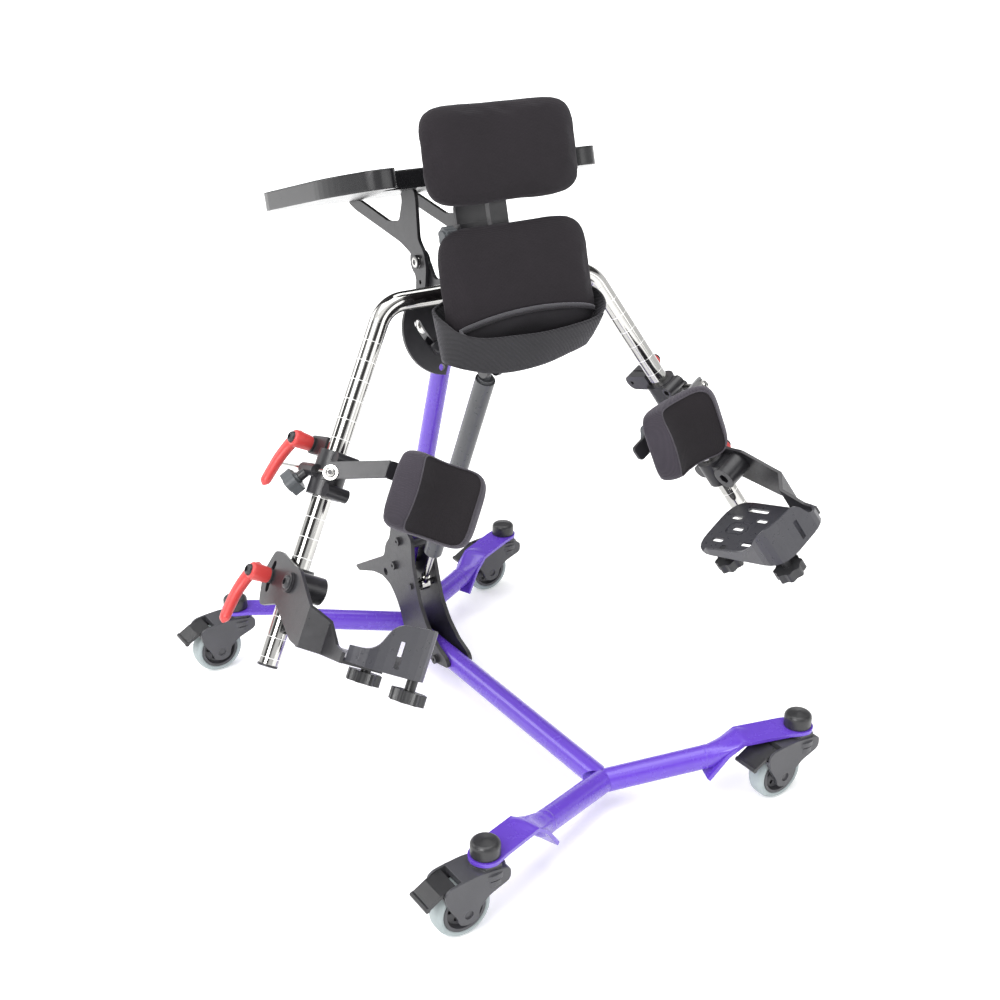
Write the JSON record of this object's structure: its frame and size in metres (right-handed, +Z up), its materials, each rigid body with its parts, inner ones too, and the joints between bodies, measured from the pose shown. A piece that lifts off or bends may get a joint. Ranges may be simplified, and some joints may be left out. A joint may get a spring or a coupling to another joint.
{
  "type": "standing frame",
  "caption": "Wheeled prone standing frame: V-bar base on braked casters, tilting column with gas spring, chest and hip pads, tray, and splayed legs with knee pads and footplates.",
  "frame": {"origin": "On the floor, under the middle of the base, midway between the caster stems.", "axes": "+X to the user's right, +Y the way the user faces, +Z up."},
  "size_m": [0.8656, 0.7734, 0.8939],
  "materials": {
    "paint": "gloss",
    "black_steel": "satin",
    "chrome": "polished",
    "tyre": "matte",
    "fork": "satin",
    "black_plastic": "satin",
    "tray_plastic": "gloss",
    "grey_plastic": "satin",
    "red_plastic": "gloss",
    "pad_fabric": "matte",
    "webbing": "matte",
    "gas_steel": "satin",
    "aluminium": "black coated"
  },
  "bodies": {
    "base": {"spine_tube": "paint", "front_bar_left": "paint", "front_bar_right": "paint", "rear_bar_left": "paint", "rear_bar_right": "paint", "caster_caps": "black_plastic", "bracket_plates": "black_steel", "main_column": "paint"},
    "fork_fl": {"caster_fork_fl": "fork"},
    "wheel_fl": {"caster_tyre_fl": "tyre", "caster_hub_fl": "fork"},
    "pedal_fl": {"caster_brake_fl": "black_plastic"},
    "fork_fr": {"caster_fork_fr": "fork"},
    "wheel_fr": {"caster_tyre_fr": "tyre", "caster_hub_fr": "fork"},
    "pedal_fr": {"caster_brake_fr": "black_plastic"},
    "fork_rl": {"caster_fork_rl": "fork"},
    "wheel_rl": {"caster_tyre_rl": "tyre", "caster_hub_rl": "fork"},
    "pedal_rl": {"caster_brake_rl": "black_plastic"},
    "fork_rr": {"caster_fork_rr": "fork"},
    "wheel_rr": {"caster_tyre_rr": "tyre", "caster_hub_rr": "fork"},
    "pedal_rr": {"caster_brake_rr": "black_plastic"},
    "carriage": {"carriage_head": "aluminium", "hip_pad": "pad_fabric", "hip_pouch": "webbing"},
    "gas_cylinder": {"gas_spring_cylinder": "gas_steel"},
    "gas_rod": {"gas_spring_rod": "chrome"},
    "chest": {"chest_slider": "black_steel", "chest_pad": "pad_fabric"},
    "chest_knob": {"chest_knob": "grey_plastic"},
    "tray": {"tray_brackets": "aluminium", "tray": "tray_plastic"},
    "left_leg": {"left_leg_bend": "chrome", "left_leg_tube": "chrome", "left_leg_fittings": "black_steel"},
    "left_knee": {"left_knee_clamp": "aluminium"},
    "left_knee_lever": {"left_knee_lever": "red_plastic"},
    "left_knee_knob": {"left_knee_knob": "grey_plastic"},
    "left_knee_arm": {"left_knee_rod": "chrome", "left_knee_arm": "aluminium"},
    "left_knee_pad": {"left_knee_pad": "pad_fabric"},
    "left_pad_knob": {"left_pad_knob": "grey_plastic"},
    "left_ankle_clamp": {"left_foot_clamp": "aluminium"},
    "left_foot_lever": {"left_foot_lever": "red_plastic"},
    "left_foot": {"left_foot_hanger": "aluminium", "left_foot_plate": "aluminium"},
    "left_foot_knob_a": {"left_foot_knob_a": "black_plastic"},
    "left_foot_knob_b": {"left_foot_knob_b": "black_plastic"},
    "right_leg": {"right_leg_bend": "chrome", "right_leg_tube": "chrome", "right_leg_fittings": "black_steel"},
    "right_knee": {"right_knee_clamp": "aluminium"},
    "right_knee_lever": {"right_knee_lever": "red_plastic"},
    "right_knee_knob": {"right_knee_knob": "grey_plastic"},
    "right_knee_arm": {"right_knee_rod": "chrome", "right_knee_arm": "aluminium"},
    "right_knee_pad": {"right_knee_pad": "pad_fabric"},
    "right_pad_knob": {"right_pad_knob": "grey_plastic"},
    "right_ankle_clamp": {"right_foot_clamp": "aluminium"},
    "right_foot_lever": {"right_foot_lever": "red_plastic"},
    "right_foot": {"right_foot_hanger": "aluminium", "right_foot_plate": "aluminium"},
    "right_foot_knob_a": {"right_foot_knob_a": "black_plastic"},
    "right_foot_knob_b": {"right_foot_knob_b": "black_plastic"}
  },
  "joints": [
    {"name": "swivel_fl", "type": "hinge", "parent": "base", "child": "fork_fl", "pos_m": [-0.25, 0.36, 0.06], "axis": [0, 0, 1], "continuous": true},
    {"name": "wheel_spin_fl", "type": "hinge", "parent": "fork_fl", "child": "wheel_fl", "pos_m": [-0.286, 0.36, 0.0375], "axis": [0, 1, 0], "continuous": true},
    {"name": "brake_fl", "type": "hinge", "parent": "fork_fl", "child": "pedal_fl", "pos_m": [-0.308, 0.36, 0.0765], "axis": [0, -1, 0], "range_deg": [0, 12]},
    {"name": "swivel_fr", "type": "hinge", "parent": "base", "child": "fork_fr", "pos_m": [0.25, 0.36, 0.06], "axis": [0, 0, 1], "continuous": true},
    {"name": "wheel_spin_fr", "type": "hinge", "parent": "fork_fr", "child": "wheel_fr", "pos_m": [0.214, 0.36, 0.0375], "axis": [0, 1, 0], "continuous": true},
    {"name": "brake_fr", "type": "hinge", "parent": "fork_fr", "child": "pedal_fr", "pos_m": [0.192, 0.36, 0.0765], "axis": [0, -1, 0], "range_deg": [0, 12]},
    {"name": "swivel_rl", "type": "hinge", "parent": "base", "child": "fork_rl", "pos_m": [-0.25, -0.36, 0.06], "axis": [0, 0, 1], "continuous": true},
    {"name": "wheel_spin_rl", "type": "hinge", "parent": "fork_rl", "child": "wheel_rl", "pos_m": [-0.286, -0.36, 0.0375], "axis": [0, 1, 0], "continuous": true},
    {"name": "brake_rl", "type": "hinge", "parent": "fork_rl", "child": "pedal_rl", "pos_m": [-0.308, -0.36, 0.0765], "axis": [0, -1, 0], "range_deg": [0, 12]},
    {"name": "swivel_rr", "type": "hinge", "parent": "base", "child": "fork_rr", "pos_m": [0.25, -0.36, 0.06], "axis": [0, 0, 1], "continuous": true},
    {"name": "wheel_spin_rr", "type": "hinge", "parent": "fork_rr", "child": "wheel_rr", "pos_m": [0.214, -0.36, 0.0375], "axis": [0, 1, 0], "continuous": true},
    {"name": "brake_rr", "type": "hinge", "parent": "fork_rr", "child": "pedal_rr", "pos_m": [0.192, -0.36, 0.0765], "axis": [0, -1, 0], "range_deg": [0, 12]},
    {"name": "tilt", "type": "hinge", "parent": "base", "child": "carriage", "pos_m": [0, 0.12, 0.58], "axis": [-1, 0, 0], "range_deg": [-15, 12]},
    {"name": "gas_upper_pivot", "type": "hinge", "parent": "carriage", "child": "gas_cylinder", "pos_m": [0, 0.01773, 0.54218], "axis": [-1, 0, 0], "range_deg": [-20, 20]},
    {"name": "gas_lower_pivot", "type": "hinge", "parent": "base", "child": "gas_rod", "pos_m": [0, 0.206, 0.135], "axis": [-1, 0, 0], "range_deg": [-10, 10]},
    {"name": "chest_height", "type": "slide", "parent": "carriage", "child": "chest", "axis": [0, 0.2588, 0.9659], "range_m": [-0.008, 0.05]},
    {"name": "chest_knob_turn", "type": "hinge", "parent": "carriage", "child": "chest_knob", "pos_m": [-0.04, 0.05626, 0.71303], "axis": [-1, 0, 0], "continuous": true},
    {"name": "tray_tilt", "type": "hinge", "parent": "carriage", "child": "tray", "pos_m": [0, 0.11978, 0.66806], "axis": [-1, 0, 0], "range_deg": [-8, 15]},
    {"name": "left_abduction", "type": "hinge", "parent": "carriage", "child": "left_leg", "pos_m": [-0.022, 0.01303, 0.65214], "axis": [0, 0.9659, -0.2588], "range_deg": [-25, 0]},
    {"name": "left_knee_height", "type": "slide", "parent": "left_leg", "child": "left_knee", "axis": [0.5, 0.2241, 0.8365], "range_m": [-0.03, 0.06]},
    {"name": "left_knee_lever_turn", "type": "hinge", "parent": "left_knee", "child": "left_knee_lever", "pos_m": [-0.27998, 0.0195, 0.49469], "axis": [0.866, -0.1294, -0.483], "range_deg": [0, 70]},
    {"name": "left_knee_knob_turn", "type": "hinge", "parent": "left_knee", "child": "left_knee_knob", "pos_m": [-0.28955, -0.02081, 0.47177], "axis": [-0.7608, 0.2606, -0.5943], "continuous": true},
    {"name": "left_knee_depth", "type": "slide", "parent": "left_knee", "child": "left_knee_arm", "axis": [0, 0.9659, -0.2588], "range_m": [-0.04, 0.008]},
    {"name": "left_knee_pad_shift", "type": "slide", "parent": "left_knee_arm", "child": "left_knee_pad", "axis": [0.866, -0.1294, -0.483], "range_m": [-0.015, 0.01]},
    {"name": "left_pad_knob_turn", "type": "hinge", "parent": "left_knee_pad", "child": "left_pad_knob", "pos_m": [-0.1693, -0.1224, 0.4558], "axis": [0, 0.9659, -0.2588], "continuous": true},
    {"name": "left_foot_height", "type": "slide", "parent": "left_leg", "child": "left_ankle_clamp", "axis": [0.5, 0.2241, 0.8365], "range_m": [-0.03, 0.03]},
    {"name": "left_foot_lever_turn", "type": "hinge", "parent": "left_ankle_clamp", "child": "left_foot_lever", "pos_m": [-0.37464, -0.04094, 0.36185], "axis": [0.866, -0.1294, -0.483], "range_deg": [0, 70]},
    {"name": "left_ankle", "type": "hinge", "parent": "left_ankle_clamp", "child": "left_foot", "pos_m": [-0.35732, -0.10052, 0.36747], "axis": [0.866, -0.1294, -0.483], "range_deg": [-15, 15]},
    {"name": "left_foot_knob_a_turn", "type": "hinge", "parent": "left_foot", "child": "left_foot_knob_a", "pos_m": [-0.29263, -0.15772, 0.25447], "axis": [0.5, 0.2241, 0.8365], "continuous": true},
    {"name": "left_foot_knob_b_turn", "type": "hinge", "parent": "left_foot", "child": "left_foot_knob_b", "pos_m": [-0.29523, -0.27034, 0.2862], "axis": [0.5, 0.2241, 0.8365], "continuous": true},
    {"name": "right_abduction", "type": "hinge", "parent": "carriage", "child": "right_leg", "pos_m": [0.022, 0.01303, 0.65214], "axis": [0, -0.9659, 0.2588], "range_deg": [-25, 0]},
    {"name": "right_knee_height", "type": "slide", "parent": "right_leg", "child": "right_knee", "axis": [-0.5, 0.2241, 0.8365], "range_m": [-0.03, 0.06]},
    {"name": "right_knee_lever_turn", "type": "hinge", "parent": "right_knee", "child": "right_knee_lever", "pos_m": [0.27998, 0.0195, 0.49469], "axis": [0.866, 0.1294, 0.483], "range_deg": [0, 70]},
    {"name": "right_knee_knob_turn", "type": "hinge", "parent": "right_knee", "child": "right_knee_knob", "pos_m": [0.28955, -0.02081, 0.47177], "axis": [0.7608, 0.2606, -0.5943], "continuous": true},
    {"name": "right_knee_depth", "type": "slide", "parent": "right_knee", "child": "right_knee_arm", "axis": [0, 0.9659, -0.2588], "range_m": [-0.04, 0.008]},
    {"name": "right_knee_pad_shift", "type": "slide", "parent": "right_knee_arm", "child": "right_knee_pad", "axis": [-0.866, -0.1294, -0.483], "range_m": [-0.015, 0.01]},
    {"name": "right_pad_knob_turn", "type": "hinge", "parent": "right_knee_pad", "child": "right_pad_knob", "pos_m": [0.1693, -0.1224, 0.4558], "axis": [0, 0.9659, -0.2588], "continuous": true},
    {"name": "right_foot_height", "type": "slide", "parent": "right_leg", "child": "right_ankle_clamp", "axis": [-0.5, 0.2241, 0.8365], "range_m": [-0.03, 0.03]},
    {"name": "right_foot_lever_turn", "type": "hinge", "parent": "right_ankle_clamp", "child": "right_foot_lever", "pos_m": [0.37464, -0.04094, 0.36185], "axis": [0.866, 0.1294, 0.483], "range_deg": [0, 70]},
    {"name": "right_ankle", "type": "hinge", "parent": "right_ankle_clamp", "child": "right_foot", "pos_m": [0.35732, -0.10052, 0.36747], "axis": [0.866, 0.1294, 0.483], "range_deg": [-15, 15]},
    {"name": "right_foot_knob_a_turn", "type": "hinge", "parent": "right_foot", "child": "right_foot_knob_a", "pos_m": [0.29263, -0.15772, 0.25447], "axis": [-0.5, 0.2241, 0.8365], "continuous": true},
    {"name": "right_foot_knob_b_turn", "type": "hinge", "parent": "right_foot", "child": "right_foot_knob_b", "pos_m": [0.29523, -0.27034, 0.2862], "axis": [-0.5, 0.2241, 0.8365], "continuous": true}
  ],
  "couplings": [
    {"joint": "gas_upper_pivot", "follows": "tilt", "ratio": -0.99098},
    {"joint": "gas_lower_pivot", "follows": "tilt", "ratio": 0.009023}
  ]
}
